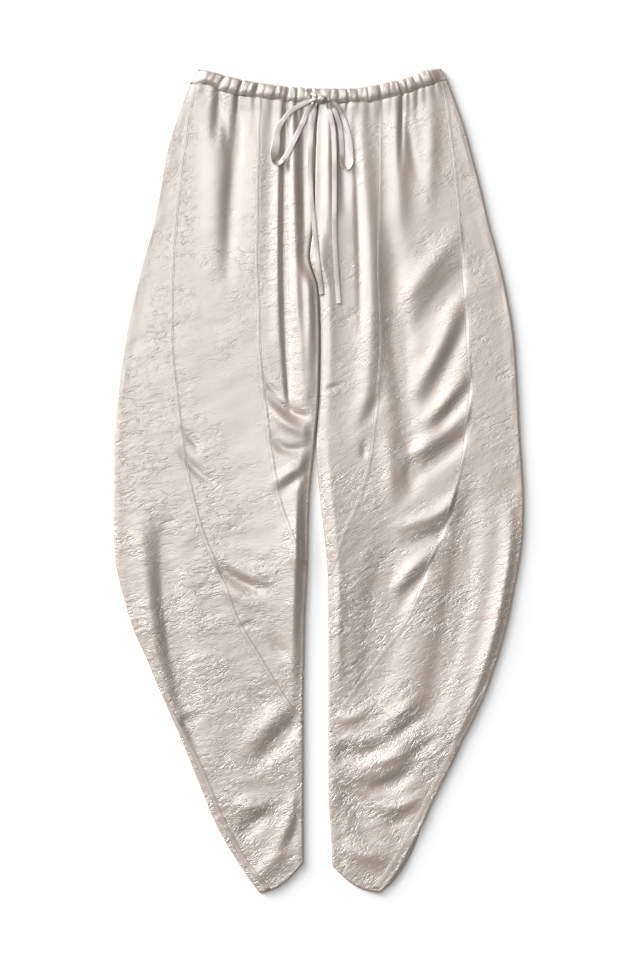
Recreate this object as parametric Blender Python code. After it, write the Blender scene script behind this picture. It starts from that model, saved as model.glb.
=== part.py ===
"""Barrel-leg drawstring trousers of crinkled satin, laid flat on their back.

The waist points along +Y and the hems along -Y. +Z points up, off the surface that the cloth lies on.
Left and right are those of someone who looks down on the front. The origin is on that surface, under the
middle of the outline.
"""

import bmesh
import bpy
import numpy as np
from mathutils import Vector
from mathutils.bvhtree import BVHTree

MM = 0.001

# Driving sizes, in millimetres.
CLOTH = 1.2
CASING_CLOTH = 2.2
SEAM_GAP = 0.4
RIM_SEAM_GAP = 0.3
WAIST_GAP = 0.8
RIM_RADIUS = 2.6
CASING_RIM_RADIUS = 3.0
TURN_UNDER = 6.0
PUFF = 0.7
PUFF_RISE = 14.0
LOWEST_TOP = 3.3
WAIST_FADE = 120.0
CASING_SWELL = 1.2
CASING_GATHER = 3.5
CASING_STEPS = 62
CASING_ROWS = (0, 0.2, 0.5, 0.8, 1.0)
CASING_BACK_STEPS = 20
RIM_STEPS_REACH = 10.0
RIM_STEPS_SHARE = 0.3
RIM_MIDDLE = -1.0
RIM_HALF = 3.0
HEM_BULGE = 9.0
FOLD_END = 0.08
FOLD_STEPS = 25
PROBE = 0.05
TAPE_WIDTH = 6.5
TAPE_THICKNESS = 1.1
TAPE_LIFT = 0.35
TAPE_STEP = 7.0
KNOT_SIZE = (10.5, 7.5, 5.0)
KNOT_PLACE = (3.2, 485.3)

# Both legs. A row is one section line across the leg, from its inner edge to its outer edge: x and y of
# its ends, then where the seams cross it. The first two are measured from the inner edge and the back one
# from the outer edge. A negative place has turned under the edge.
LEG_COLUMNS = ("inner_x", "inner_y", "outer_x", "outer_y", "inner_seam", "outer_seam", "back_seam")
LEFT_LEG = (
    (-1.9, 481, -166, 507, 73, 159.5, -6),
    (-4.4, 446, -183, 461, 71, 163.5, -6),
    (-5.7, 408, -196, 418, 70, 167.5, -6),
    (-6.6, 370, -203.5, 375, 70, 172, -6),
    (-8.3, 325, -212.5, 328, 68.5, 175.5, -6),
    (-12.7, 286, -224, 287, 65, 174.5, -6),
    (-1.3, 240, -236, 240, 75, 187.5, -6),
    (0.6, 179, -248.5, 179, 75.5, 189.5, -6),
    (-0.3, 116, -257, 116, 69, 182.5, -6),
    (-5.7, 48, -262, 46, 55, 169, -6),
    (-12.7, -24, -262.5, -28, 36, 147.5, -6),
    (-14, -62, -262, -65, 21.5, 135.5, -6),
    (-14.6, -100, -260, -104, 5, 119.5, -6),
    (-15, -111, -258, -114, -6, 114, -6),
    (-18.4, -175, -240.5, -179, -6, 86.5, -6),
    (-19.5, -228, -217, -234, -6, 54, -6),
    (-20, -253, -206.5, -259, -6, 39, -1),
    (-20.3, -304, -182.5, -314, -6, 3, 4.5),
    (-20.3, -312, -179, -322, -6, -6, 6),
    (-20.3, -355, -157, -376, -6, -6, 9.7),
    (-20.3, -405, -134.3, -433, -6, -6, 11),
    (-20.3, -450, -105.7, -484, -6, -6, 11.5),
    (-20.3, -484, -77, -524, -6, -6, 15.5),
)
RIGHT_LEG = (
    (-1.9, 481, 162.5, 512, 80.5, 161.5, -6),
    (-4.4, 446, 184.5, 450, 82, 170, -6),
    (-5.7, 408, 196, 408, 83, 176.5, -6),
    (-6.6, 370, 206, 370, 84, 181.5, -6),
    (-8.3, 325, 216.5, 325, 85.5, 187, -6),
    (-12.7, 286, 227.5, 285, 89.5, 195, -6),
    (-1.3, 240, 238.5, 238, 79, 187, -6),
    (0.6, 179, 248, 179, 79, 188, -6),
    (-0.3, 116, 252, 118, 75.5, 193, -6),
    (-4.4, 48, 255.5, 52, 72, 190, -6),
    (0.6, -24, 260, -24, 50, 169, -6),
    (5, -62, 259.3, -62, 28.5, 153, -6),
    (8.9, -100, 255, -100, 11, 133.5, -6),
    (10, -118, 251.8, -118, 2, 125.5, -6),
    (10.3, -129, 249.5, -129, -6, 121.5, -6),
    (10.8, -176, 241.5, -171, -6, 101.5, -6),
    (10.8, -225, 227, -225, -6, 65.5, -6),
    (10.8, -253, 217.5, -253, -6, 44.5, -1),
    (10.8, -278, 208, -278, -6, 26, 4.5),
    (10.8, -304, 196, -304, -6, 8.5, 9.2),
    (10.8, -318, 188.7, -318, -6, 1.5, 9.6),
    (10.8, -326, 184, -327, -6, -6, 9.3),
    (10.8, -355, 170, -357, -6, -6, 8.5),
    (11, -405, 142.6, -412, -6, -6, 8.7),
    (14, -446, 123, -459, -6, -6, 15),
    (15, -471, 106, -492, -6, -6, 16.2),
    (15.4, -482, 92, -511, -6, -6, 15.6),
    (15.6, -489, 77, -524, -6, -6, 11.8),
)

# Where the rows of the cloth's grid cross the inner edge. Closer ones are added where a seam turns round
# a rim.
ROWS = (481, 466, 446, 424, 400, 376, 350, 324, 298, 272, 246, 220, 194, 168, 142, 98, 72, 48, 36, 24, 0,
        -24, -48, -72, -96, -120, -146, -172, -198, -224, -250, -276, -302, -328, -356, -386, -416, -448)
RIM_TURN = (5.0, 3.0, 1.0, -1.0, -3.0, -5.0)
ROW_APART = 4.0
CROTCH_Y = 48
CROTCH_OPEN_Y = 24
BACK_LEAVES_CENTRE_Y = 98

# The waist casing, from left to right: x and y of its sewn lower edge, x and y of its top edge.
CASING = (
    (-166, 507, -156, 523.5),
    (-143, 505.5, -139, 520.5),
    (-121.5, 496, -120, 515),
    (-94.5, 490.5, -94.5, 509),
    (-63, 487, -63, 504),
    (-30, 483, -30, 500),
    (0, 481, 0, 498.5),
    (39, 482, 39, 498.5),
    (65.5, 483, 64, 501.5),
    (92, 488, 89.5, 507),
    (117.5, 496, 114, 513),
    (140.5, 504, 135.5, 521.5),
    (162.5, 512, 154.5, 524.5),
)

# Gathers under the casing: x at the casing, depth, half width on the cloth, reach down the cloth.
GATHERS = (
    (-145, 0.8, 5, 40),
    (-128, 1.4, 5, 70),
    (-117, 0.8, 4, 40),
    (-104, 1.6, 6, 110),
    (-91, 0.9, 5, 50),
    (-82, 0.9, 4, 40),
    (-73, 0.7, 4, 30),
    (-63, 0.9, 5, 60),
    (-42.5, 2.0, 5, 120),
    (-29, 1.0, 5, 70),
    (-19.5, 0.8, 4, 40),
    (-9.5, 0.8, 4, 40),
    (26, 1.0, 5, 60),
    (36, 1.8, 4, 40),
    (48, 1.2, 5, 90),
    (63, 1.0, 5, 50),
    (79.5, 1.0, 5, 50),
    (92, 1.0, 5, 60),
    (106, 2.2, 5, 130),
    (114, 1.0, 4, 60),
    (125, 1.2, 5, 60),
    (134, 0.8, 4, 40),
    (146, 0.8, 4, 30),
)

# The largest folds: x and y where one starts, passes and ends, its half width and its height. A trough is
# below 0.
FOLDS = (
    (-135, 478, -133, 395, -137, 285, 16, 2.0),
    (-101, 484, -109, 393, -116, 276, 9, -2.4),
    (-88, 480, -93, 408, -98, 294, 11, 1.2),
    (-57, 470, -60, 357, -63, 205, 8, 2.2),
    (-42.5, 488, -50, 275, -40, 105, 5, -3.2),
    (-36, 480, -31, 320, -23, 120, 9, 3.6),
    (-22, 433, -22, 360, -20, 285, 5, -1.6),
    (-67, 112, -38, 88, -10, 83, 6, -2.4),
    (-60, 94, -40, 72, -12, 62, 8, 2.6),
    (-58, 54, -40, 40, -10, 45, 6, -2.4),
    (-58, -4, -40, 9, -18, 24, 8, 2.0),
    (-52, -13, -35, -2, -14, 14, 7, -2.2),
    (-118, -104, -90, -119, -63, -126, 10, 1.6),
    (-121, -114, -97, -129, -66, -137, 7, -2.6),
    (-122, -136, -98, -150, -66, -160, 10, 1.8),
    (-222, -85, -214, -150, -200, -225, 12, 1.2),
    (-199, -78, -190, -164, -182, -268, 12, -1.8),
    (-36, -284, -62, -306, -94, -340, 12, 1.8),
    (-20, -292, -47, -324, -78, -356, 9, -2.4),
    (-114, -402, -93, -404, -72, -402, 9, 2.2),
    (-102, -460, -84, -442, -66, -412, 8, -2.2),
    (-56, -470, -44, -440, -26, -410, 9, 1.6),
    (12, 480, 12, 420, 14, 330, 9, 3.0),
    (28, 476, 29, 425, 33, 370, 6, -1.8),
    (45, 455, 48, 330, 52, 200, 4.5, -2.2),
    (55, 440, 63, 265, 56, 118, 11, 3.2),
    (92, 250, 98, 165, 112, 50, 11, -2.4),
    (97, 475, 104, 375, 106, 240, 12, 2.6),
    (106, 490, 113, 440, 122, 385, 6, -2.4),
    (128, 484, 130, 430, 128, 370, 9, 1.6),
    (166, 292, 141, 260, 112, 238, 11, 2.0),
    (184, 276, 156, 245, 129, 222, 9, -2.4),
    (172, 225, 154, 175, 125, 126, 11, 2.8),
    (188, 217, 170, 168, 140, 118, 9, -2.6),
    (182, 128, 163, 107, 150, 84, 8, 2.0),
    (194, 119, 176, 98, 162, 76, 7, -2.2),
    (178, 74, 149, 43, 120, 17, 10, 2.4),
    (190, 58, 164, 27, 134, 2, 9, -2.6),
    (84, 60, 90, 15, 90, -28, 9, 1.6),
    (112, 55, 118, 15, 110, -20, 9, -1.6),
    (167, 5, 137, -37, 90, -60, 9, 3.0),
    (176, -12, 146, -54, 97, -75, 7, -2.8),
    (132, -103, 108, -121, 90, -152, 9, 2.6),
    (144, -116, 121, -133, 102, -164, 7, -2.4),
    (20, -100, 22, -180, 22, -265, 8, 1.5),
    (66, -98, 64, -180, 50, -268, 13, -2.4),
    (202, -20, 196, -110, 160, -225, 16, -2.2),
    (236, -20, 236, -150, 186, -295, 13, 2.2),
    (22, -296, 42, -298, 66, -286, 9, 1.8),
    (18, -340, 45, -340, 72, -322, 10, -2.2),
    (88, -300, 104, -290, 122, -278, 8, 1.6),
    (92, -322, 112, -312, 132, -296, 8, -2.0),
    (66, -356, 90, -352, 112, -338, 8, 1.6),
    (62, -384, 90, -384, 118, -362, 9, -2.0),
    (76, -414, 100, -414, 128, -402, 7, 2.0),
    (84, -436, 100, -434, 116, -424, 7, -1.6),
    (48, -480, 66, -488, 88, -492, 9, 1.4),
)

# Routes of the drawstring's centre line, from the knot outwards, and of the lead from the eyelet to the knot.
LEFT_END_ROUTE = ((-3.4, 479.6), (-6.2, 470), (-9.5, 451), (-11.7, 421), (-11.7, 390), (-10.3, 360),
                  (-7.2, 330), (-4.4, 300), (-1.1, 269.5), (2.8, 236.5))
RIGHT_END_ROUTE = ((7.6, 479.4), (12.2, 471), (14.8, 461), (18, 441), (19.2, 400), (19.2, 360), (19.2, 320),
                   (21, 280), (23.1, 249), (24.8, 225))
LEFT_LOOP_ROUTE = ((-4.2, 484.4), (-13, 482), (-24.5, 477), (-39, 467), (-52.5, 448.5), (-57, 430),
                   (-59.8, 414), (-58.3, 405.5), (-52.5, 402.5), (-45.8, 409), (-38.8, 419.5), (-30, 437),
                   (-21.5, 455), (-15.5, 470), (-7.4, 480.8))
RIGHT_LOOP_ROUTE = ((10.6, 484.8), (17, 480.5), (24, 473.5), (31.2, 459.5), (35.8, 446), (39, 432),
                    (40.3, 417), (39.6, 402.5), (34.4, 396.8), (29, 402.5), (28.6, 414), (28.2, 428),
                    (26, 448.5), (22, 463), (17.2, 473), (12.1, 480))
LEAD_ROUTE = ((-18, 497), (-12.5, 493.6), (-8.4, 490.4), (-3.6, 488))
TAPE_TAPER = 16.0
TAPE_AT_KNOT = 0.38
TAPE_OVERHANG = 1.1
PROBE_SHARES = (-1, -0.5, 0, 0.5, 1)

SATIN_ROUGHNESS = 0.38
SATIN = (0.78, 0.71, 0.66)
SATIN_TAPE = (0.82, 0.76, 0.71)


def smooth_table(places, values, wanted):
    """Values of a table between its rows, along a cubic curve that never overshoots a row."""
    places = np.asarray(places, float)
    values = np.asarray(values, float)
    step = np.diff(places)
    slope = np.diff(values) / step
    turn = slope[:-1] * slope[1:]
    inner = np.where(turn > 0, 2 * turn / np.where(turn > 0, slope[:-1] + slope[1:], 1), 0)
    tangent = np.concatenate([slope[:1], inner, slope[-1:]])
    wanted = np.clip(wanted, places[0], places[-1])
    k = np.clip(np.searchsorted(places, wanted, side="right") - 1, 0, len(step) - 1)
    u = (wanted - places[k]) / step[k]
    start = values[k] * (1 + 2 * u) * (1 - u) ** 2 + values[k + 1] * u ** 2 * (3 - 2 * u)
    return start + step[k] * (tangent[k] * u * (1 - u) ** 2 - tangent[k + 1] * u ** 2 * (1 - u))


def ease(value):
    """0 below 0, 1 above 1, and a smooth step between."""
    value = np.clip(value, 0, 1)
    return value * value * (3 - 2 * value)


def casing_lower_y(x):
    """Y of the casing's sewn lower edge at each x."""
    table = np.array(CASING, float)
    return smooth_table(table[:, 0], table[:, 1], x)


def fold_height(x, y):
    """Height that the folds and gathers add at each place, in millimetres."""
    total = np.zeros(np.broadcast(x, y).shape)
    along = np.linspace(0, 1, FOLD_STEPS)
    start, middle, end = (1 - along) ** 2, 2 * along * (1 - along), along ** 2
    for x0, y0, x1, y1, x2, y2, half_width, height in FOLDS:
        route_x = start * x0 + middle * (2 * x1 - (x0 + x2) / 2) + end * x2
        route_y = start * y0 + middle * (2 * y1 - (y0 + y2) / 2) + end * y2
        apart = np.hypot(x[..., None] - route_x, y[..., None] - route_y)
        nearest = apart.argmin(axis=-1)
        fade = np.sin(np.pi * (FOLD_END + (1 - 2 * FOLD_END) * along[nearest]))
        total += height * fade * np.exp(-((apart.min(axis=-1) / half_width) ** 2))
    for gather_x, depth, half_width, reach in GATHERS:
        below = np.clip((casing_lower_y(x) - y) / reach, 0, 1)
        total -= depth * (1 - ease(below)) * np.exp(-(((x - gather_x) / half_width) ** 2))
    return total


def round_loop(arc, width, radius):
    """Places round a flattened loop of cloth this wide, at these distances from its first edge, over the top.

    Returns the distance across, the height of the plain loop, and how far on the top a place is from a rim.
    """
    length = width + (np.pi - 2) * radius
    quarter = np.pi / 2 * radius
    first_half = arc < length / 2
    near = np.where(first_half, arc, length - arc)
    angle = np.clip(near, -quarter, quarter) / radius
    on_floor = np.clip(-near - quarter, 0, None)
    on_top = np.clip(near - quarter, 0, None)
    reach = radius * (1 - np.cos(angle)) + on_floor + on_top
    return np.where(first_half, reach, width - reach), radius * (1 + np.sin(angle)), on_top


def arc_of(distance, radius):
    """Distance round the loop of a place this far in from an edge. Below 0 it is already round the rim."""
    over_rim = radius * np.arccos(np.clip(1 - distance / radius, -1, 1))
    past_rim = distance + (np.pi / 2 - 1) * radius
    return np.where(distance < 0, distance, np.where(distance < radius, over_rim, past_rim))


class Leg:
    """One leg's cross sections, each a closed loop: over the top, round the outer edge, back underneath."""

    def __init__(self, table, side):
        self.table = dict(zip(LEG_COLUMNS, np.array(table, float)[::-1].T))
        self.side = side
        turns = [self.turn_rows(name) for name in ("inner_seam", "outer_seam", "back_seam")]
        self.inner_end, self.outer_end = turns[0][-1], turns[1][-1]
        close = np.concatenate(turns)
        spaced = [y for y in ROWS if np.abs(close - y).min() > ROW_APART]
        self.row_y = np.array(sorted([*spaced, *close, table[-1][1]], reverse=True), float)

    def turn_rows(self, name):
        """Heights on the inner edge where a seam passes each step of its turn round a rim, highest first."""
        fine = np.linspace(ROWS[0], self.table["inner_y"][0], 8001)
        arc = arc_of(self.column(name, fine), RIM_RADIUS)
        passed = [np.flatnonzero(np.diff(np.sign(arc - step)))[0] for step in RIM_TURN]
        return np.sort(fine[passed])[::-1]

    def column(self, name, y):
        return smooth_table(self.table["inner_y"], self.table[name], y)

    def width(self, y):
        run = self.column("outer_x", y) - self.column("inner_x", y)
        return np.hypot(run, self.column("outer_y", y) - y) - SEAM_GAP / 2

    def heading(self, y):
        """Level direction of each section line, away from the inner edge."""
        run_x = self.column("outer_x", y) - self.column("inner_x", y)
        run = np.stack([run_x, self.column("outer_y", y) - y], axis=-1)
        return run / np.linalg.norm(run, axis=-1)[..., None]

    def along_line(self, y, share):
        """The place this share of the way along the section line that starts here on the inner edge."""
        inner_x = self.column("inner_x", y) + self.side * SEAM_GAP / 2
        x = inner_x + share * (self.column("outer_x", y) - inner_x)
        return x, y + share * (self.column("outer_y", y) - y)

    def points(self, y, arc):
        """Outer face of the cloth at these rows and distances round the loop."""
        y, arc = np.broadcast_arrays(np.asarray(y, float), np.asarray(arc, float))
        width = self.width(y)
        across, plain_z, on_top = round_loop(arc, width, RIM_RADIUS)
        share = across / width
        x, line_y = self.along_line(y, share)
        waist_x, waist_line_y = self.along_line(np.full(y.shape, self.row_y[0]), share)
        near_waist = 1 - ease((self.row_y[0] - y) / WAIST_FADE)
        near_hem = 1 - ease((y - self.row_y[-1]) / WAIST_FADE)
        dip = (casing_lower_y(waist_x) - waist_line_y) * near_waist
        bulge = HEM_BULGE * near_hem * np.sin(np.pi * np.clip(share, 0, 1))
        plan_y = line_y + dip - bulge - WAIST_GAP * near_waist
        raised = plain_z + ease(on_top / PUFF_RISE) * (PUFF + fold_height(x, plan_y))
        held_up = LOWEST_TOP + np.logaddexp(0, 2 * (raised - LOWEST_TOP)) / 2
        return np.stack([x, plan_y, np.where(on_top > 0, held_up, plain_z)], axis=-1)


def row_steps(start, end, steps):
    """Distances round the loop for each row: finer steps near the ends, where the rims are."""
    first_steps, middle_steps, last_steps = steps
    edge = np.minimum(RIM_STEPS_REACH, RIM_STEPS_SHARE * (end - start))[:, None]
    start = start[:, None]
    end = end[:, None]
    from_edge = start + edge * (first_steps > 0)
    to_edge = end - edge * (last_steps > 0)
    pieces = [from_edge + np.linspace(0, 1, middle_steps + 1) * (to_edge - from_edge)]
    if first_steps:
        pieces.insert(0, start + np.linspace(0, 1, first_steps + 1)[:-1] * edge)
    if last_steps:
        pieces.append(to_edge + np.linspace(0, 1, last_steps + 1)[1:] * edge)
    return np.concatenate(pieces, axis=1)


def paint(obj, colour):
    """Give the object its own satin material."""
    material = bpy.data.materials.new(obj.name)
    material.use_nodes = True
    shader = material.node_tree.nodes["Principled BSDF"]
    shader.inputs["Base Color"].default_value = (*colour, 1)
    shader.inputs["Roughness"].default_value = SATIN_ROUGHNESS
    obj.data.materials.append(material)


def wall(surface, rows, arcs, thickness, heading):
    """Points on the outer and inner face of a cloth wall. The wall's depth runs in the plane of its row."""
    rows, arcs = np.broadcast_arrays(rows, arcs)
    outer = surface(rows, arcs)
    ahead = surface(rows, arcs + PROBE) - surface(rows, arcs - PROBE)
    level = (ahead[..., :2] * heading).sum(axis=-1)
    slant = np.hypot(level, ahead[..., 2])
    sideways = -(ahead[..., 2] / slant)[..., None] * heading
    outward = np.concatenate([sideways, (level / slant)[..., None]], axis=-1)
    return outer, outer - thickness * outward


def cloth_sheet(name, outer, inner, colour, collection):
    """One sewn piece: a grid surface through the outer points, extruded to the inner points."""
    rows, columns = outer.shape[:2]
    mesh = bpy.data.meshes.new(name)
    bm = bmesh.new()
    bmesh.ops.create_grid(bm, x_segments=columns - 1, y_segments=rows - 1, size=1)
    number = bm.verts.layers.int.new("number")
    for index, (vert, place) in enumerate(zip(bm.verts, outer.reshape(-1, 3))):
        vert.co = Vector(place) * MM
        vert[number] = index
    made = bmesh.ops.extrude_face_region(bm, geom=bm.faces[:], use_keep_orig=True)["geom"]
    inside = inner.reshape(-1, 3)
    for vert in (item for item in made if isinstance(item, bmesh.types.BMVert)):
        vert.co = Vector(inside[vert[number]]) * MM
    bmesh.ops.recalc_face_normals(bm, faces=bm.faces)
    bmesh.ops.triangulate(bm, faces=bm.faces)
    bm.to_mesh(mesh)
    bm.free()
    mesh.shade_smooth()
    obj = bpy.data.objects.new(name, mesh)
    collection.objects.link(obj)
    paint(obj, colour)
    return obj


def seam_half_gap(arc):
    """Half the gap at a seam, which opens where the seam turns round a rim."""
    return SEAM_GAP / 2 + RIM_SEAM_GAP * (1 - ease((np.abs(arc - RIM_MIDDLE) - RIM_HALF) / RIM_HALF))


def build_leg(label, leg, collection):
    """The three front panels and the back panel of one leg."""
    y = leg.row_y
    width = leg.width(y)
    length = width + (np.pi - 2) * RIM_RADIUS
    turned = -TURN_UNDER * ease((CROTCH_Y - y) / (CROTCH_Y - CROTCH_OPEN_Y))
    inner_seam = arc_of(leg.column("inner_seam", y), RIM_RADIUS)
    outer_seam = arc_of(leg.column("outer_seam", y), RIM_RADIUS)
    back_seam = length - arc_of(leg.column("back_seam", y), RIM_RADIUS)
    past_centre = ease((BACK_LEAVES_CENTRE_Y - y) / (BACK_LEAVES_CENTRE_Y - CROTCH_Y))
    turned_reach = TURN_UNDER + (1 - np.pi / 2) * RIM_RADIUS + SEAM_GAP
    back_end = length + width + (np.pi / 2 - 1) * RIM_RADIUS - past_centre * turned_reach
    inner_gap = seam_half_gap(inner_seam)
    outer_gap = seam_half_gap(outer_seam)
    back_gap = seam_half_gap(length - back_seam)
    front_start = np.where(y <= leg.inner_end, turned, inner_seam + inner_gap)
    side_start = np.where(y <= leg.outer_end, turned, outer_seam + outer_gap)
    all_rows = np.full(y.shape, True)
    panels = {
        "inner_panel": (turned, inner_seam - inner_gap, y > leg.inner_end, (2, 6, 0)),
        "front_panel": (front_start, outer_seam - outer_gap, y > leg.outer_end, (2, 9, 0)),
        "side_panel": (side_start, back_seam - back_gap, all_rows, (2, 5, 2)),
        "back_panel": (back_seam + back_gap, back_end, all_rows, (2, 5, 0)),
    }
    for panel, (start, end, rows, steps) in panels.items():
        arcs = row_steps(start[rows], end[rows], steps)
        faces = wall(leg.points, y[rows][:, None], arcs, CLOTH, leg.heading(y[rows])[:, None])
        cloth_sheet(f"{label}_{panel}", *faces, SATIN, collection)


def casing_points(up, arc):
    """Outer face of the waist casing. `up` is 0 at its sewn edge and 1 at its top edge."""
    up, arc = np.broadcast_arrays(up, arc)
    lower_x, lower_y, top_x, top_y = np.array(CASING, float).T
    left = lower_x[0] + up * (top_x[0] - lower_x[0])
    width = lower_x[-1] + up * (top_x[-1] - lower_x[-1]) - left
    across, plain_z, on_top = round_loop(arc, width, CASING_RIM_RADIUS)
    share = across / width
    sewn_x = lower_x[0] + share * (lower_x[-1] - lower_x[0])
    edge_x = top_x[0] + share * (top_x[-1] - top_x[0])
    sewn_y = smooth_table(lower_x, lower_y, sewn_x)
    edge_y = smooth_table(top_x, top_y, edge_x)
    pinch = np.zeros(share.shape)
    for gather_x, depth, _, _ in GATHERS:
        pinch += depth * np.exp(-(((sewn_x - gather_x) / CASING_GATHER) ** 2))
    swell = CASING_SWELL * np.sin(np.pi * up) - pinch * (0.5 + 0.5 * np.sin(np.pi * up))
    z = plain_z + ease(on_top / PUFF_RISE) * swell
    return np.stack([sewn_x + up * (edge_x - sewn_x), sewn_y + up * (edge_y - sewn_y), z], axis=-1)


def build_casing(collection):
    """The front and back halves of the waist casing."""
    up = np.array(CASING_ROWS)[:, None]
    lower_x = np.array(CASING, float)[:, 0]
    top_x = np.array(CASING, float)[:, 2]
    width = lower_x[-1] - lower_x[0] + up * (top_x[-1] - top_x[0] - lower_x[-1] + lower_x[0])
    length = width + (np.pi - 2) * CASING_RIM_RADIUS
    rim = np.linspace(-TURN_UNDER, 2 * TURN_UNDER, 7)[:-1]
    share = np.linspace(0, 1, CASING_STEPS + 1)
    front = np.concatenate([
        np.broadcast_to(rim, (len(up), len(rim))),
        2 * TURN_UNDER + share * (length - 4 * TURN_UNDER),
        length - rim[::-1],
    ], axis=1)
    back_start = length + TURN_UNDER + SEAM_GAP
    back_end = 2 * length - TURN_UNDER - SEAM_GAP
    back = back_start + np.linspace(0, 1, CASING_BACK_STEPS + 1) * (back_end - back_start)
    level = np.array([1.0, 0.0])
    cloth_sheet("waistband_front", *wall(casing_points, up, front, CASING_CLOTH, level), SATIN, collection)
    cloth_sheet("waistband_back", *wall(casing_points, up, back, CASING_CLOTH, level), SATIN, collection)


def cloth_tree():
    """A search tree of all cloth built so far, in metres."""
    graph = bpy.context.evaluated_depsgraph_get()
    places = []
    faces = []
    for obj in bpy.data.objects:
        evaluated = obj.evaluated_get(graph)
        mesh = evaluated.to_mesh()
        first = len(places)
        places += [vert.co.copy() for vert in mesh.vertices]
        faces += [[first + index for index in face.vertices] for face in mesh.polygons]
        evaluated.to_mesh_clear()
    return BVHTree.FromPolygons(places, faces)


def top_of_cloth(tree, x, y):
    """Height of the cloth's highest face at a place, in millimetres."""
    hit = tree.ray_cast(Vector((x * MM, y * MM, 0.1)), Vector((0, 0, -1)))[0]
    return hit.z / MM if hit else 0.0


def smooth_route(route, step):
    """A smooth curve through the route's points, as evenly spaced places."""
    route = np.array(route, float)
    reach = np.concatenate([[0], np.cumsum(np.hypot(*np.diff(route, axis=0).T))])
    fine = np.linspace(0, reach[-1], 400)
    padded = np.concatenate([[2 * route[0] - route[1]], route, [2 * route[-1] - route[-2]]])
    k = np.clip(np.searchsorted(reach, fine, side="right") - 1, 0, len(route) - 2)
    u = ((fine - reach[k]) / (reach[k + 1] - reach[k]))[:, None]
    p0, p1, p2, p3 = padded[k], padded[k + 1], padded[k + 2], padded[k + 3]
    places = p1 + 0.5 * u * (p2 - p0 + u * (2 * p0 - 5 * p1 + 4 * p2 - p3 + u * (3 * (p1 - p2) + p3 - p0)))
    along = np.concatenate([[0], np.cumsum(np.hypot(*np.diff(places, axis=0).T))])
    wanted = np.linspace(0, along[-1], max(3, round(along[-1] / step) + 1))
    return np.stack([np.interp(wanted, along, places[:, i]) for i in (0, 1)], axis=1), wanted


def build_tape(name, route, at_knot, tree, collection):
    """A stretch of the flat drawstring, laid on the cloth. `at_knot` says which ends narrow into the knot."""
    places, along = smooth_route(route, TAPE_STEP)
    heading = np.gradient(places, along, axis=0)
    heading /= np.linalg.norm(heading, axis=1)[:, None]
    across = np.stack([heading[:, 1], -heading[:, 0]], axis=1)
    from_knot = np.minimum(along if at_knot[0] else 1000, along[-1] - along if at_knot[1] else 1000)
    width = TAPE_WIDTH * (TAPE_AT_KNOT + (1 - TAPE_AT_KNOT) * ease(from_knot / TAPE_TAPER))
    floor = np.array([
        max(
            top_of_cloth(tree, *(place + side * half * TAPE_OVERHANG * out + ahead * TAPE_STEP * forward))
            for side in PROBE_SHARES
            for ahead in PROBE_SHARES
        )
        for place, out, forward, half in zip(places, across, heading, width / 2)
    ])
    top = floor + TAPE_LIFT + TAPE_THICKNESS
    left = np.column_stack([places - across * width[:, None] / 2, top])
    right = np.column_stack([places + across * width[:, None] / 2, top])
    outer = np.stack([left, right], axis=1)
    return cloth_sheet(name, outer, outer - (0, 0, TAPE_THICKNESS), SATIN_TAPE, collection)


def build_knot(tree, collection):
    """The bow's knot, as one rounded lump on the casing's sewn edge."""
    x, y = KNOT_PLACE
    long, wide, high = KNOT_SIZE
    floor = max(
        top_of_cloth(tree, x + side * long / 2, y + ahead * wide / 2)
        for side in PROBE_SHARES
        for ahead in PROBE_SHARES
    )
    mesh = bpy.data.meshes.new("drawstring_knot")
    bm = bmesh.new()
    bmesh.ops.create_uvsphere(bm, u_segments=12, v_segments=8, radius=0.5)
    for vert in bm.verts:
        vert.co = Vector((vert.co.x * long, vert.co.y * wide, vert.co.z * high)) * MM
    bm.to_mesh(mesh)
    bm.free()
    mesh.shade_smooth()
    knot = bpy.data.objects.new("drawstring_knot", mesh)
    knot.location = Vector((x, y, floor + TAPE_LIFT + high / 2)) * MM
    collection.objects.link(knot)
    paint(knot, SATIN_TAPE)


def main():
    for obj in list(bpy.data.objects):
        bpy.data.objects.remove(obj, do_unlink=True)
    collection = bpy.data.collections.new("Drawstring trousers")
    bpy.context.scene.collection.children.link(collection)
    build_leg("left", Leg(LEFT_LEG, -1), collection)
    build_leg("right", Leg(RIGHT_LEG, 1), collection)
    build_casing(collection)
    tree = cloth_tree()
    build_knot(tree, collection)
    build_tape("drawstring_left_end", LEFT_END_ROUTE, (True, False), tree, collection)
    build_tape("drawstring_right_end", RIGHT_END_ROUTE, (True, False), tree, collection)
    build_tape("drawstring_left_loop", LEFT_LOOP_ROUTE, (True, True), tree, collection)
    build_tape("drawstring_right_loop", RIGHT_LOOP_ROUTE, (True, True), tree, collection)
    build_tape("drawstring_lead", LEAD_ROUTE, (True, True), tree, collection)


main()
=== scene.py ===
# %% [markdown]
# # Barrel-leg satin trousers, laid flat
# These trousers lie on their back on a white table and are seen from straight above. Each leg is cut as
# three curved front panels and one back panel, joined by flat felled seams. An elastic casing gathers the
# waist, and a flat drawstring is tied in a bow. The satin was crinkled on purpose, so its gloss breaks
# into streaks.
#
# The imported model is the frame: every piece here is made in its coordinates, and stands for one of its
# nodes.

# %% Load the frame
import math

import bpy
import numpy as np
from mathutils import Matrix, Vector
from mathutils.bvhtree import BVHTree


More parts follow.
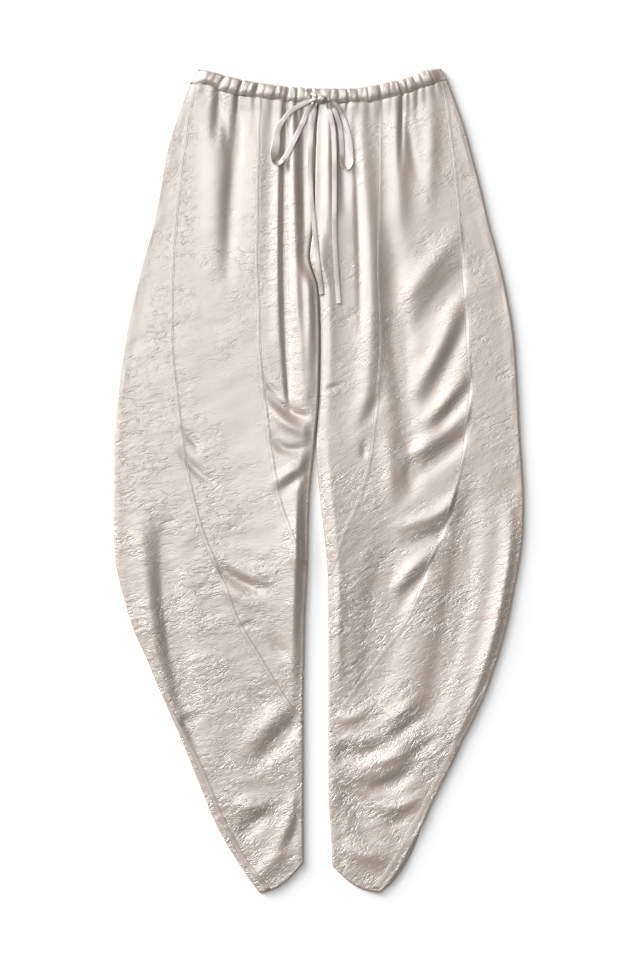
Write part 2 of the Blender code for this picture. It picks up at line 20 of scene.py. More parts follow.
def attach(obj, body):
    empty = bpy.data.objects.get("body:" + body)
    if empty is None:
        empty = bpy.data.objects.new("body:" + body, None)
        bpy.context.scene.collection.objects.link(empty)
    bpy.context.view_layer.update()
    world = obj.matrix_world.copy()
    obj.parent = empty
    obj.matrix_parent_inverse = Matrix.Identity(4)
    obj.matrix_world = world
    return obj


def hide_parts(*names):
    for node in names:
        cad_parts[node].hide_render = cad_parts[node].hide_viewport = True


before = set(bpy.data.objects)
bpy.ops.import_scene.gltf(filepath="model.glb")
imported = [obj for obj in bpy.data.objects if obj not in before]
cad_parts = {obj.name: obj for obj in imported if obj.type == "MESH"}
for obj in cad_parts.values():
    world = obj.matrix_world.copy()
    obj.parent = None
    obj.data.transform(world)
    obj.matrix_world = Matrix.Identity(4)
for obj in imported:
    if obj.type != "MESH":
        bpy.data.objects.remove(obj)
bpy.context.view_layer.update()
MM = 0.001

# %% [markdown]
# ## Camera
# The photo looks straight down, so all edges are seen at their real width. A long lens could stand
# anywhere above, but an 85 mm one at almost 3 m keeps the perspective as weak as the photo's. The
# picture's longer side is its height, and the height that it covers fixes the distance.

# %% Camera over the middle of the garment
LENS_MM = 85.0
SENSOR_MM = 36.0
PICTURE_HEIGHT = 1.2203
PICTURE_CENTRE = (0.0006, 0.0013)
CLOTH_LEVEL = 0.006


def add_object(name, data, place=(0, 0, 0)):
    """Object with this data at a place."""
    obj = bpy.data.objects.new(name, data)
    obj.location = place
    bpy.context.scene.collection.objects.link(obj)
    return obj


camera_data = bpy.data.cameras.new("Camera")
camera_data.lens = LENS_MM
camera_data.sensor_width = SENSOR_MM
camera_height = PICTURE_HEIGHT * LENS_MM / SENSOR_MM + CLOTH_LEVEL
camera = add_object("Camera", camera_data, (*PICTURE_CENTRE, camera_height))
bpy.context.scene.camera = camera
print("camera height:", round(camera_height, 3))

# %% [markdown]
# ## The cut of the legs
# A cloth that lies flat is two layers joined round a narrow rim. Each leg is described by section lines
# that run from its inner edge to its outer edge, and by where the seams cross them. Between the lines, a
# cubic curve that never overshoots carries every value. The tables are the same as those of the solids, in
# millimetres.

# %% Sizes and tables of the cut
SEAM_GAP = 0.3
RIM_RADIUS = 2.6
CASING_RIM_RADIUS = 3.0
TURN_UNDER = 6.0
PUFF = -0.3
PUFF_RISE = 14.0
LOWEST_TOP = 2.5
WAIST_FADE = 120.0
WAIST_RISE = 2.4
WAIST_REACH = 17.0
HEM_BULGE = 9.0
CENTRE_LAP = 1.6
CENTRE_LAP_ENDS = (40, 262)
CENTRE_LAP_EASE = 30
CENTRE_LAP_REACH = {-1: 17, 1: 5}
CROTCH_Y = 48
CROTCH_OPEN_Y = 24
BACK_LEAVES_CENTRE_Y = 98


def table(columns, numbers):
    """Rows of this many numbers, from text."""
    return np.array(numbers.split(), float).reshape(-1, columns)


LEG_COLUMNS = ("inner_x", "inner_y", "outer_x", "outer_y", "inner_seam", "outer_seam", "back_seam")
LEFT_LEG = table(len(LEG_COLUMNS), """
-1.9 481 -166 507 73 159.5 -6
-4.4 446 -183 461 71 163.5 -6
-5.7 408 -196 418 70 167.5 -6
-6.6 370 -203.5 375 70 172 -6
-8.3 325 -212.5 328 68.5 175.5 -6
-12.7 286 -224 287 65 174.5 -6
-1.3 240 -236 240 75 187.5 -6
0.6 179 -248.5 179 75.5 189.5 -6
-0.3 116 -257 116 69 182.5 -6
-5.7 48 -262 46 55 169 -6
-12.7 -24 -262.5 -28 36 147.5 -6
-14 -62 -262 -65 21.5 135.5 -6
-14.6 -100 -260 -104 5 119.5 -6
-15 -111 -258 -114 -6 114 -6
-18.4 -175 -240.5 -179 -6 86.5 -6
-19.5 -228 -217 -234 -6 54 -6
-20 -253 -206.5 -259 -6 39 -1
-20.3 -304 -182.5 -314 -6 3 4.5
-20.3 -312 -179 -322 -6 -6 6
-20.3 -355 -157 -376 -6 -6 9.7
-20.3 -405 -134.3 -433 -6 -6 11
-20.3 -450 -105.7 -484 -6 -6 11.5
-20.3 -484 -77 -524 -6 -6 15.5
""")
RIGHT_LEG = table(len(LEG_COLUMNS), """
-1.9 481 162.5 512 80.5 161.5 -6
-4.4 446 184.5 450 82 170 -6
-5.7 408 196 408 83 176.5 -6
-6.6 370 206 370 84 181.5 -6
-8.3 325 216.5 325 85.5 187 -6
-12.7 286 227.5 285 89.5 195 -6
-1.3 240 238.5 238 79 187 -6
0.6 179 248 179 79 188 -6
-0.3 116 252 118 75.5 193 -6
-4.4 48 255.5 52 72 190 -6
0.6 -24 260 -24 50 169 -6
5 -62 259.3 -62 28.5 153 -6
8.9 -100 255 -100 11 133.5 -6
10 -118 251.8 -118 2 125.5 -6
10.3 -129 249.5 -129 -6 121.5 -6
10.8 -176 241.5 -171 -6 101.5 -6
10.8 -225 227 -225 -6 65.5 -6
10.8 -253 217.5 -253 -6 44.5 -1
10.8 -278 208 -278 -6 26 4.5
10.8 -304 196 -304 -6 8.5 9.2
10.8 -318 188.7 -318 -6 1.5 9.6
10.8 -326 184 -327 -6 -6 9.3
10.8 -355 170 -357 -6 -6 8.5
11 -405 142.6 -412 -6 -6 8.7
14 -446 123 -459 -6 -6 15
15 -471 106 -492 -6 -6 16.2
15.4 -482 92 -511 -6 -6 15.6
15.6 -489 77 -524 -6 -6 11.8
""")
CASING = table(4, """
-166 507 -156 523.5
-143 505.5 -139 520.5
-121.5 496 -120 515
-94.5 490.5 -94.5 509
-63 487 -63 504
-30 483 -30 500
0 481 0 498.5
39 482 39 498.5
65.5 483 64 501.5
92 488 89.5 507
117.5 496 114 513
140.5 504 135.5 521.5
162.5 512 154.5 524.5
""")
print("section lines:", len(LEFT_LEG), "left,", len(RIGHT_LEG), "right")

# %% [markdown]
# ## Gathers and folds
# The elastic draws the waist into small gathers, each a groove that starts at the casing and opens as it
# runs down. The big folds come from how the cloth was laid: long ones hang from the waist, and slanted
# ones cross the legs. Simulated cloth would fold where it likes, so each is placed as a soft
# trough or ridge on a curved line. Calm places are those where the satin is pulled smooth and hardly
# crinkles.

# %% Gathers: x at the casing, depth, half width, reach down the cloth
GATHERS = table(4, """
-145 0.5 4.0 40
-128 1.6 4.0 75
-117 0.5 2.5 40
-104 2.2 2.8 110
-93 0.5 3.0 50
-82 1.1 4.0 60
-72 0.3 2.4 30
-58 0.9 4.5 60
-50 0.4 2.4 40
-42.5 2.8 2.2 120
-29.5 1.9 2.0 60
-19.5 0.5 2.4 40
-10 1.3 2.0 25
14 0.4 3.0 40
25 0.7 4.0 60
36.5 2.4 1.8 30
50 0.5 3.0 90
63 0.5 3.0 50
79.5 0.9 3.5 50
92 0.5 2.8 60
105.5 3.0 2.4 120
114 0.7 2.4 60
125 0.9 2.8 60
134 0.5 2.4 40
146 0.6 2.4 30
""")

# %% Folds: x and y of the start, middle and end, then half width and height, with troughs below 0
FOLDS = table(8, """
-135 478 -133 395 -137 285 16 2.0
-97 520 -109 395 -117 262 9 -3.0
-125 515 -129 470 -133 430 7 -2.2
-76 492 -79 400 -84 270 12 1.2
-50 490 -52 340 -53 180 7 2.6
-40 505 -45 290 -37 92 4.5 -4.8
-42 510 -46.5 290 -40 105 2.4 -2.8
-35 500 -32 350 -30 200 8 3.8
-32 270 -26 185 -22 90 7 2.2
-20 495 -18 375 -15 280 8 -4.0
-67 112 -38 88 -10 83 6 -2.4
-60 94 -40 72 -12 62 8 2.6
-58 54 -40 40 -10 45 6 -2.4
-58 -4 -40 9 -18 24 8 2.0
-52 -13 -35 -2 -14 14 7 -2.2
-122 -136 -98 -150 -66 -160 10 1.8
-226 -55 -216 -160 -196 -290 14 3.0
-199 -55 -187 -185 -158 -335 15 -5.0
-30 -30 -28 -75 -30 -125 12 2.0
-24 -40 -23 -150 -24 -270 20 3.4
-22 80 -20 -60 -20 -215 58 4.2
-10 278 -10 235 -9 185 6 1.6
-36 -284 -62 -306 -94 -340 12 2.8
-18 -294 -47 -326 -80 -360 10 -3.8
-112 -408 -86 -414 -58 -408 11 3.4
-84 -510 -66 -490 -44 -470 10 2.4
-104 -452 -84 -438 -60 -414 9 -3.2
-58 -475 -42 -440 -28 -395 10 2.8
10.5 490 10.5 410 12 320 8 3.8
-4 340 -5 225 -4 105 21 4.8
27 490 29 425 32 345 7 -2.6
44 470 50 330 53 190 4.5 -2.2
47 480 66 240 52 60 12 3.4
93 310 102 165 120 -5 14 -3.6
94 505 99 420 103 310 11 2.8
106 490 114 440 124 385 6 -1.0
140 490 142 430 138 350 10 1.8
84 60 90 15 90 -28 9 1.6
112 55 118 15 110 -20 9 -1.6
20 -100 22 -180 22 -265 8 1.5
84 -75 80 -180 62 -292 24 -4.8
190 -5 172 -170 124 -350 17 -4.4
242 -45 232 -165 180 -320 12 4.4
20 -300 42 -300 66 -288 9 2.6
14 -345 52 -348 92 -330 12 -4.6
88 -302 104 -292 122 -280 8 2.4
92 -324 112 -314 132 -298 8 -4.2
66 -356 90 -352 112 -338 8 1.6
62 -386 90 -386 118 -364 9 -4.2
30 -385 48 -410 62 -440 15 -3.8
30 -352 85 -338 140 -300 42 3.2
76 -414 100 -414 128 -402 7 2.4
84 -436 100 -434 116 -424 7 -1.6
26 -464 55 -474 88 -482 11 3.0
""")
SEAM_FOLDS = table(8, """
176 318 138 270 106 230 12 2.6
202 286 160 238 120 188 15 -3.4
175 228 151 165 117 110 11 2.7
193 222 168 158 134 100 10 -3.0
188 140 158 100 130 70 8 2.2
200 130 170 90 146 62 8 -2.8
190 86 141 50 104 24 10 3.0
202 72 157 32 118 6 9 -3.2
184 -4 155 -38 104 -58 9 3.2
196 -24 165 -60 112 -78 8 -3.4
146 -88 108 -121 90 -152 9 2.8
158 -100 121 -133 102 -164 7 -2.6
-130 -96 -90 -119 -63 -126 10 1.6
-136 -105 -97 -129 -66 -137 7 -2.8
""")
CREASES = table(8, """
-124 494 -121 459 -118 421 5 -1.2
-173 66 -161 52 -153 41 4.5 -1.4
-176 38 -157 14 -132 -3 5 -2.0
-70 130 -60 118 -46 106 3.5 -1.4
-184 -318 -170 -308 -154 -300 6 -2.2
-188 -302 -172 -296 -152 -288 8 1.2
4 110 14 118 32 122 3 -1.2
-98 -185 -88 -182 -79 -190 4 -1.4
-61 -204 -50 -215 -41 -224 7 -1.2
-91 -268 -80 -276 -66 -284 6 -1.4
-33 -108 -24 -122 -18 -140 7 -1.6
57 50 57 40 55 30 5 -1.4
76 112 66 90 52 66 8 -1.6
114 -352 132 -340 146 -328 6 -1.6
-48 -468 -30 -446 -18 -420 7 -1.4
""")
CALM = table(8, """
-147 470 -145 380 -150 290 14 0.9
-92 480 -95 400 -97 330 8 0.8
-113 450 -118 380 -120 300 8 0.7
-150 290 -150 180 -140 60 20 0.6
-110 150 -95 90 -90 20 32 0.8
-75 -130 -60 -180 -50 -240 20 0.6
-110 -30 -75 -60 -45 -110 20 0.7
-102 -385 -84 -390 -62 -394 11 0.9
-26 290 -24 220 -22 140 9 0.9
-205 400 -225 280 -235 180 20 0.5
8 475 8 400 8 300 9 0.8
60 440 66 320 66 200 11 0.7
100 440 102 330 102 230 12 0.8
136 168 126 146 114 120 12 0.9
184 220 160 160 128 108 9 0.8
156 112 135 98 112 84 11 0.9
182 56 158 10 124 -38 13 0.9
172 -4 141 -46 96 -66 7 0.8
149 -68 120 -100 84 -138 12 0.9
222 -10 218 -130 172 -290 13 0.8
205 420 225 300 232 180 22 0.5
""")
print("gathers:", len(GATHERS), "folds:", len(FOLDS) + len(SEAM_FOLDS), "creases:", len(CREASES))

# %% [markdown]
# ## Curves between the rows of a table
# A plain spline would swing past its points where a seam turns round the rim. Tangents that are the
# harmonic mean of the slopes on both sides, and 0 at each peak, keep every value between its two rows.

# %% Table curve, easing and noise


def smooth_table(places, values, wanted):
    """Cubic between neighbouring rows, with harmonic-mean tangents, so it never overshoots a row."""
    places = np.asarray(places, float)
    values = np.asarray(values, float)
    step = np.diff(places)
    slope = np.diff(values) / step
    turn = slope[:-1] * slope[1:]
    inner = np.where(turn > 0, 2 * turn / np.where(turn > 0, slope[:-1] + slope[1:], 1), 0)
    tangent = np.concatenate([slope[:1], inner, slope[-1:]])
    wanted = np.clip(wanted, places[0], places[-1])
    k = np.clip(np.searchsorted(places, wanted, side="right") - 1, 0, len(step) - 1)
    u = (wanted - places[k]) / step[k]
    start = values[k] * (1 + 2 * u) * (1 - u) ** 2 + values[k + 1] * u ** 2 * (3 - 2 * u)
    return start + step[k] * (tangent[k] * u * (1 - u) ** 2 - tangent[k + 1] * u ** 2 * (1 - u))


def ease(value):
    """0 below 0, 1 above 1, and 3v^2 - 2v^3 between."""
    value = np.clip(value, 0, 1)
    return value * value * (3 - 2 * value)


def lattice_noise(x, y, seed):
    """Smooth random surface from 0 to 1: random values on whole-number places, eased between them."""
    values = np.random.default_rng(seed).random((97, 89))
    left, low = np.floor(x).astype(int), np.floor(y).astype(int)
    u, v = ease(x - left), ease(y - low)
    i0, i1, j0, j1 = left % 97, (left + 1) % 97, low % 89, (low + 1) % 89
    lower = values[i0, j0] * (1 - u) + values[i1, j0] * u
    upper = values[i0, j1] * (1 - u) + values[i1, j1] * u
    return lower * (1 - v) + upper * v


print("noise at the origin:", lattice_noise(np.zeros(1), np.zeros(1), 1))

# %% [markdown]
# ## Height of the cloth
# Five things lift or sink the top layer: the folds, the gathers, the creases, the crinkle, and the casing,
# whose elastic holds the cloth up near the waist. A fold is a bell-shaped groove or ridge about a curved
# line, weaker at its ends. The crinkle is the finish of the satin itself: thousands of small sharp
# wrinkles. Their larger waves are real shape here, made by folding a smooth noise at its middle value into
# ridges. The finest are left to the material.

# %% Folds, gathers and crinkle as one height
SOFT_WAVE = 0.45
CRINKLE_COARSE = 0.34
CRINKLE_FINE = 0.2


def bell_lines(x, y, rows):
    """Sum of height x bell(distance to the line / half width), fading towards each line's ends."""
    total = np.zeros(x.shape)
    along = np.linspace(0, 1, 33)
    for x0, y0, x1, y1, x2, y2, half_width, height in rows:
        bend = np.array([2 * x1 - (x0 + x2) / 2, 2 * y1 - (y0 + y2) / 2])
        ends = np.array([(x0, y0), (x2, y2)])
        line = (1 - along[:, None]) ** 2 * ends[0] + 2 * (along * (1 - along))[:, None] * bend
        line += along[:, None] ** 2 * ends[1]
        low, high = line.min(axis=0) - 2.6 * half_width, line.max(axis=0) + 2.6 * half_width
        near = (x > low[0]) & (x < high[0]) & (y > low[1]) & (y < high[1])
        if not near.any():
            continue
        run = np.gradient(line, axis=0)
        step = np.hypot(run[:, 0], run[:, 1])
        gap_x, gap_y = x[near][:, None] - line[:, 0], y[near][:, None] - line[:, 1]
        k = np.hypot(gap_x, gap_y).argmin(axis=1)
        pick = np.arange(len(k))
        ahead = (gap_x[pick, k] * run[k, 0] + gap_y[pick, k] * run[k, 1]) / step[k]
        aside = (gap_x[pick, k] * run[k, 1] - gap_y[pick, k] * run[k, 0]) / step[k]
        place = k + ahead / step[k]
        beyond = np.maximum(np.maximum(-place, place - 32), 0) * step[k]
        fade = np.sin(np.pi * (0.08 + 0.84 * np.clip(place / 32, 0, 1)))
        total[near] += height * fade * np.exp(-(aside ** 2 + beyond ** 2) / half_width ** 2)
    return total


def casing_lower_y(x):
    """Y of the casing's sewn lower edge at each x."""
    return smooth_table(CASING[:, 0], CASING[:, 1], x)


def gather_height(x, y):
    """Grooves below the casing: each is deepest there, and widens and fades as it runs down."""
    total = np.zeros(x.shape)
    below = casing_lower_y(x) - y
    for gather_x, depth, half_width, reach in GATHERS:
        share = np.clip(below / reach, 0, 1)
        drift = 3 * np.sin(gather_x) * share
        aside = (x - gather_x - drift) / (half_width * (1 + share))
        total -= depth * (1 - ease(share)) * np.exp(-(aside ** 2))
    return total


def crinkle_share(x, y):
    """How strongly both crinkles show: more towards the hems, in patches, less where calm."""
    calm = 1 - np.clip(bell_lines(x, y, CALM), 0, 1)
    level = 0.45 + 0.55 * ease((120 - y) / 320)
    patch = 0.35 + 0.65 * ease(2.2 * lattice_noise(x / 34, y / 26, 31) - 0.6)
    slanted = ease((-190 - y) / 160) * (0.3 + 0.7 * ease(2.4 * lattice_noise(x / 30, y / 30, 37) - 0.7))
    return level * patch * calm, slanted * calm


def crinkle_height(x, y, lean):
    """Soft waves and folded noise, stretched along the lean: (1 - |2n - 1|)^3 has narrow crests."""
    along = x * math.cos(lean) + y * math.sin(lean)
    across = y * math.cos(lean) - x * math.sin(lean)
    sway = lattice_noise(x / 31, y / 31, 5)
    waves = lattice_noise(along / 75 + sway, across / 30 + sway, 71)
    waves += lattice_noise(along / 44, across / 15 + sway, 73)
    coarse = 1 - np.abs(2 * lattice_noise(along / 26 + sway, (across + 9 * sway) / 8, 11) - 1)
    fine = 1 - np.abs(2 * lattice_noise(along / 13, (across + 5 * sway) / 5, 23) - 1)
    share = crinkle_share(x, y)[0]
    return SOFT_WAVE * (waves - 1) + share * (CRINKLE_COARSE * coarse ** 3 + CRINKLE_FINE * fine ** 3)


print("casing's lower edge:", round(float(casing_lower_y(0)), 1))

# %% [markdown]
# ## One leg as a surface of two parameters
# The two parameters are the height at which a section line leaves the inner edge, and the distance round
# the loop of cloth. Distance 0 is the inner edge, and below 0 the cloth has turned under. Each rim is a
# half circle, so the shape is closed in one formula, and a panel is simply a range of distances in each
# row. At the centre front the left leg laps a little over the right one.

# %% Leg surface


def round_loop(arc, width, radius):
    """Across, height and distance from a rim, round a flattened loop: half circles joined by flats."""
    length = width + (np.pi - 2) * radius
    quarter = np.pi / 2 * radius
    first_half = arc < length / 2
    near = np.where(first_half, arc, length - arc)
    angle = np.clip(near, -quarter, quarter) / radius
    on_floor = np.clip(-near - quarter, 0, None)
    on_top = np.clip(near - quarter, 0, None)
    reach = radius * (1 - np.cos(angle)) + on_floor + on_top
    return np.where(first_half, reach, width - reach), radius * (1 + np.sin(angle)), on_top


def arc_of(distance, radius):
    """Distance round the loop of a place this far in from an edge. Below 0 it is already round the rim."""
    over_rim = radius * np.arccos(np.clip(1 - distance / radius, -1, 1))
    past_rim = distance + (np.pi / 2 - 1) * radius
    return np.where(distance < 0, distance, np.where(distance < radius, over_rim, past_rim))


class Leg:
    """Section lines, seams and the surface of one leg."""

    def __init__(self, rows, side, lean):
        self.table = dict(zip(LEG_COLUMNS, rows[::-1].T))
        self.side = side
        self.lean = lean
        self.top = rows[0, 1]
        self.hem = rows[-1, 1]

    def column(self, name, y):
        """One column of the table at any height."""
        return smooth_table(self.table["inner_y"], self.table[name], y)

    def width(self, y):
        """Length of the section line from this height."""
        run = self.column("outer_x", y) - self.column("inner_x", y)
        return np.hypot(run, self.column("outer_y", y) - y) - SEAM_GAP / 2

    def along_line(self, y, share):
        """X and y at a share of the way along a section line."""
        inner_x = self.column("inner_x", y) + self.side * SEAM_GAP / 2
        outer_x, outer_y = self.column("outer_x", y), self.column("outer_y", y)
        return inner_x + share * (outer_x - inner_x), y + share * (outer_y - y)

    def points(self, y, arc):
        """Place on the outer face: along the section line, bent to waist and hem, raised by the folds."""
        y, arc = np.broadcast_arrays(np.asarray(y, float), np.asarray(arc, float))
        width = self.width(y)
        across, plain_z, on_top = round_loop(arc, width, RIM_RADIUS)
        share = across / width
        x, line_y = self.along_line(y, share)
        waist_x, waist_line_y = self.along_line(np.full(y.shape, self.top), share)
        near_waist = 1 - ease((self.top - y) / WAIST_FADE)
        near_hem = 1 - ease((y - self.hem) / WAIST_FADE)
        dip = (casing_lower_y(waist_x) - waist_line_y) * near_waist
        bulge = HEM_BULGE * near_hem * np.sin(np.pi * np.clip(share, 0, 1))
        plan_y = line_y + dip - bulge - SEAM_GAP * near_waist
        outer_seam = self.column("outer_seam", y)
        past_seam = ease((across - outer_seam + 2) / 6) * (outer_seam > 0)
        folds = bell_lines(x, plan_y, FOLDS) + bell_lines(x, plan_y, CREASES) + gather_height(x, plan_y)
        folds += bell_lines(x, plan_y, SEAM_FOLDS) * (1 - 0.85 * past_seam)
        folds += WAIST_RISE * np.exp(-(((casing_lower_y(x) - plan_y) / WAIST_REACH) ** 2))
        crinkle = crinkle_height(x, plan_y, self.lean) * ease(on_top / 5)
        raised = plain_z + ease(on_top / PUFF_RISE) * (PUFF + folds) + crinkle
        held_up = LOWEST_TOP + np.logaddexp(0, 2 * (raised - LOWEST_TOP)) / 2
        z = np.where(on_top > 0, held_up, plain_z)
        low, high = CENTRE_LAP_ENDS
        lap = ease((y - low) / CENTRE_LAP_EASE) * (1 - ease((y - high) / CENTRE_LAP_EASE))
        lap *= np.exp(-((across / CENTRE_LAP_REACH[self.side]) ** 2)) * np.clip(z / RIM_RADIUS - 1, 0, 1)
        return np.stack([x, plan_y, z - self.side * CENTRE_LAP * lap], axis=-1)

    def seam_arc(self, name, y):
        """Distance round the loop at which a seam crosses each row."""
        arc = arc_of(self.column(name, y), RIM_RADIUS)
        if name == "back_seam":
            return self.width(y) + (np.pi - 2) * RIM_RADIUS - arc
        return arc


legs = {"left": Leg(LEFT_LEG, -1, math.radians(12)), "right": Leg(RIGHT_LEG, 1, math.radians(26))}
print("width at the crotch:", [round(float(leg.width(48)), 1) for leg in legs.values()])

# %% [markdown]
# ## From a grid of points to a mesh
# A grid needs no list of faces written by hand: vertex (row, column) has the number row x columns +
# column, so all quads come from one array. Left and right legs run opposite ways, and the flip keeps every
# face pointing outwards.

# %% Grid mesh
CRINKLES = ("level crinkle", "slanted crinkle")


def grid_mesh(name, points, flip=False, closed=False):
    """Quads through points (rows, columns, 3) in millimetres. `closed` joins the last column."""
    if flip:
        points = points[:, ::-1]
    rows, columns = points.shape[:2]
    number = np.arange(rows * columns).reshape(rows, columns)
    if closed:
        number = np.concatenate([number, number[:, :1]], axis=1)
    corners = [number[:-1, :-1], number[:-1, 1:], number[1:, 1:], number[1:, :-1]]
    quads = np.stack(corners, axis=-1).reshape(-1)
    mesh = bpy.data.meshes.new(name)
    mesh.vertices.add(rows * columns)
    mesh.vertices.foreach_set("co", (points * MM).astype(np.float32).ravel())
    mesh.loops.add(len(quads))
    mesh.loops.foreach_set("vertex_index", quads.astype(np.int32))
    mesh.polygons.add(len(quads) // 4)
    mesh.polygons.foreach_set("loop_start", np.arange(0, len(quads), 4, dtype=np.int32))
    mesh.update(calc_edges=True)
    mesh.validate()
    mesh.shade_smooth()
    return add_object(name, mesh)


def mark_crinkle(obj):
    """Store on each vertex how strongly the two crinkles of the satin show there."""
    places = np.empty(3 * len(obj.data.vertices), np.float32)
    obj.data.vertices.foreach_get("co", places)
    x, y, _ = places.reshape(-1, 3).T.astype(float) / MM
    for name, share in zip(CRINKLES, crinkle_share(x, y)):
        layer = obj.data.attributes.new(name, "FLOAT", "POINT")
        layer.data.foreach_set("value", share.astype(np.float32))


def give_thickness(obj, thickness):
    """A thin wall behind the outer face, as cloth has."""
    wall = obj.modifiers.new("Cloth", "SOLIDIFY")
    wall.thickness = thickness * MM
    wall.offset = -1


def settle(obj, node, material):
    """The piece gets its material, rides on the one body, and stands for its node if it has one."""
    obj.data.materials.append(material)
    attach(obj, "root")
    if node:
        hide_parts(node)


print("grid helper ready")

# %% [markdown]
# ## Satin
# Satin is glossy because long threads float over its face. The gloss is white, and the cloth's own colour
# shows only in the hollows. A dielectric with low roughness would look like plastic, and a metal would
# lose the taupe shade. A Principled shader with a high index, medium roughness and a warm, low base colour
# gives both. The small crinkles are bump: soft pillows, and creases where a noise passes its middle value,
# broken into short pieces by a second noise. Attributes of the cloth say how strongly they show. A very
# fine noise stands for the slubs of the weave.

# %% Satin material
SATIN_COLOUR = (0.355, 0.27, 0.208, 1)
SATIN_PALE = (0.4, 0.31, 0.245, 1)
TAPE_COLOURS = ((0.40, 0.32, 0.27, 1), (0.44, 0.36, 0.31, 1))
THREAD_COLOURS = ((0.36, 0.285, 0.235, 1), (0.40, 0.32, 0.27, 1))
SATIN_GLOSS = {
    "Roughness": 0.44, "IOR": 2.2, "Specular IOR Level": 1.0, "Sheen Weight": 0.06, "Sheen Roughness": 0.5,
}
SLUB_CELL = (0.006, 0.0007)
SLUB_DEPTH = 0.00006
PILLOW_CELL = (0.018, 0.007)
PILLOW_DEPTH = 0.0007
SMALL_PILLOW = ((0.012, 0.005), 0.0005)
# What drives each crease layer of the legs, its turn, cell, width and depth
LEG_CREASES = (
    ("level crinkle", 0, (0.026, 0.0075), 0.06, 0.0004),
    ("level crinkle", 0.25, (0.014, 0.0042), 0.08, 0.00024),
    ("slanted crinkle", 0.6, (0.02, 0.0065), 0.07, 0.00042),
)
SMALL_CREASE = ((0.014, 0.005), 0.09, 0.0002)


def add_node(tree, kind, inputs=(), **settings):
    """A node with its settings and some of its sockets set."""
    node = tree.nodes.new(kind)
    for key, value in settings.items():
        setattr(node, key, value)
    for key, value in dict(inputs).items():
        node.inputs[key].default_value = value
    return node


def times(tree, first, second):
    """Product of two outputs."""
    product = add_node(tree, "ShaderNodeMath", operation="MULTIPLY")
    tree.links.new(first, product.inputs[0])
    tree.links.new(second, product.inputs[1])
    return product.outputs["Value"]


def stretched_noise(tree, place, lean, sizes, detail, distortion=0.0):
    """Noise with cells of these sizes, turned by the lean."""
    turned = add_node(tree, "ShaderNodeMapping", {"Rotation": (0, 0, lean), "Scale": (*sizes, sizes[1])},
                      vector_type="TEXTURE")
    noise = add_node(tree, "ShaderNodeTexNoise", {"Scale": 1.0, "Detail": detail, "Distortion": distortion})
    tree.links.new(place.outputs["Object"], turned.inputs["Vector"])
    tree.links.new(turned.outputs["Vector"], noise.inputs["Vector"])
    return noise.outputs["Fac"]


def creases(tree, place, lean, sizes, width):
    """Short creases: 1 where a noise passes 0.5 and 0 elsewhere, broken up by a second noise."""
    centred = add_node(tree, "ShaderNodeMath", {1: 0.5}, operation="SUBTRACT")
    folded = add_node(tree, "ShaderNodeMath", operation="ABSOLUTE")
    line = add_node(tree, "ShaderNodeMapRange", {"From Max": width, "To Min": 1.0, "To Max": 0.0},
                    interpolation_type="SMOOTHSTEP")
    broken = add_node(tree, "ShaderNodeMapRange", {"From Min": 0.42, "From Max": 0.58})
    tree.links.new(stretched_noise(tree, place, lean, sizes, 1.5, 0.8), centred.inputs[0])
    tree.links.new(centred.outputs["Value"], folded.inputs[0])
    tree.links.new(folded.outputs["Value"], line.inputs["Value"])
    gaps = stretched_noise(tree, place, lean + 0.9, (1.3 * sizes[1], 1.7 * sizes[1]), 0.0)
    tree.links.new(gaps, broken.inputs["Value"])
    return times(tree, line.outputs["Result"], broken.outputs["Result"])


def satin(name, lean, crinkle=None, colour=SATIN_COLOUR, pale=SATIN_PALE):
    """White gloss over tinted cloth, crinkled as its attributes or `crinkle` say, with a fine slub."""
    material = bpy.data.materials.new(name)
    material.use_nodes = True
    tree = material.node_tree
    link = tree.links.new
    shader = tree.nodes["Principled BSDF"]
    for socket, value in SATIN_GLOSS.items():
        shader.inputs[socket].default_value = value
    place = add_node(tree, "ShaderNodeTexCoord")
    tint = add_node(tree, "ShaderNodeMix", data_type="RGBA")
    tint.inputs["A"].default_value = colour
    tint.inputs["B"].default_value = pale
    link(stretched_noise(tree, place, 0, (0.07, 0.07), 3.0), tint.inputs["Factor"])
    link(tint.outputs["Result"], shader.inputs["Base Color"])
    layers = [(stretched_noise(tree, place, 0, SLUB_CELL, 1.0), SLUB_DEPTH, 0.3)]
    if crinkle:
        cell, depth = SMALL_PILLOW
        layers.append((stretched_noise(tree, place, lean, cell, 2.0), depth, crinkle))
        cell, width, depth = SMALL_CREASE
        layers.append((creases(tree, place, lean, cell, width), -depth, crinkle))
    else:
        drivers = [add_node(tree, "ShaderNodeAttribute", attribute_name=name) for name in CRINKLES]
        shares = {node.attribute_name: node.outputs["Fac"] for node in drivers}
        pillow = stretched_noise(tree, place, lean, PILLOW_CELL, 2.0)
        layers.append((times(tree, pillow, shares["level crinkle"]), PILLOW_DEPTH, 1.0))
        for name, turn, cell, width, depth in LEG_CREASES:
            crease = creases(tree, place, lean + turn, cell, width)
            layers.append((times(tree, crease, shares[name]), -depth, 1.0))
    normal = None
    for height, depth, strength in layers:
        sockets = {"Strength": strength, "Distance": abs(depth)}
        bump = add_node(tree, "ShaderNodeBump", sockets, invert=depth < 0)
        link(height, bump.inputs["Height"])
        if normal:
            link(normal, bump.inputs["Normal"])
        normal = bump.outputs["Normal"]
    link(normal, shader.inputs["Normal"])
    return material


leg_satin = {label: satin(f"{label} leg satin", leg.lean) for label, leg in legs.items()}
waist_satin = satin("waist satin", math.radians(80), 0.6)
tape_satin = satin("drawstring satin", 0, 0.2, *TAPE_COLOURS)
thread = satin("stitching thread", 0, 0.2, *THREAD_COLOURS)
print("materials:", len(bpy.data.materials))

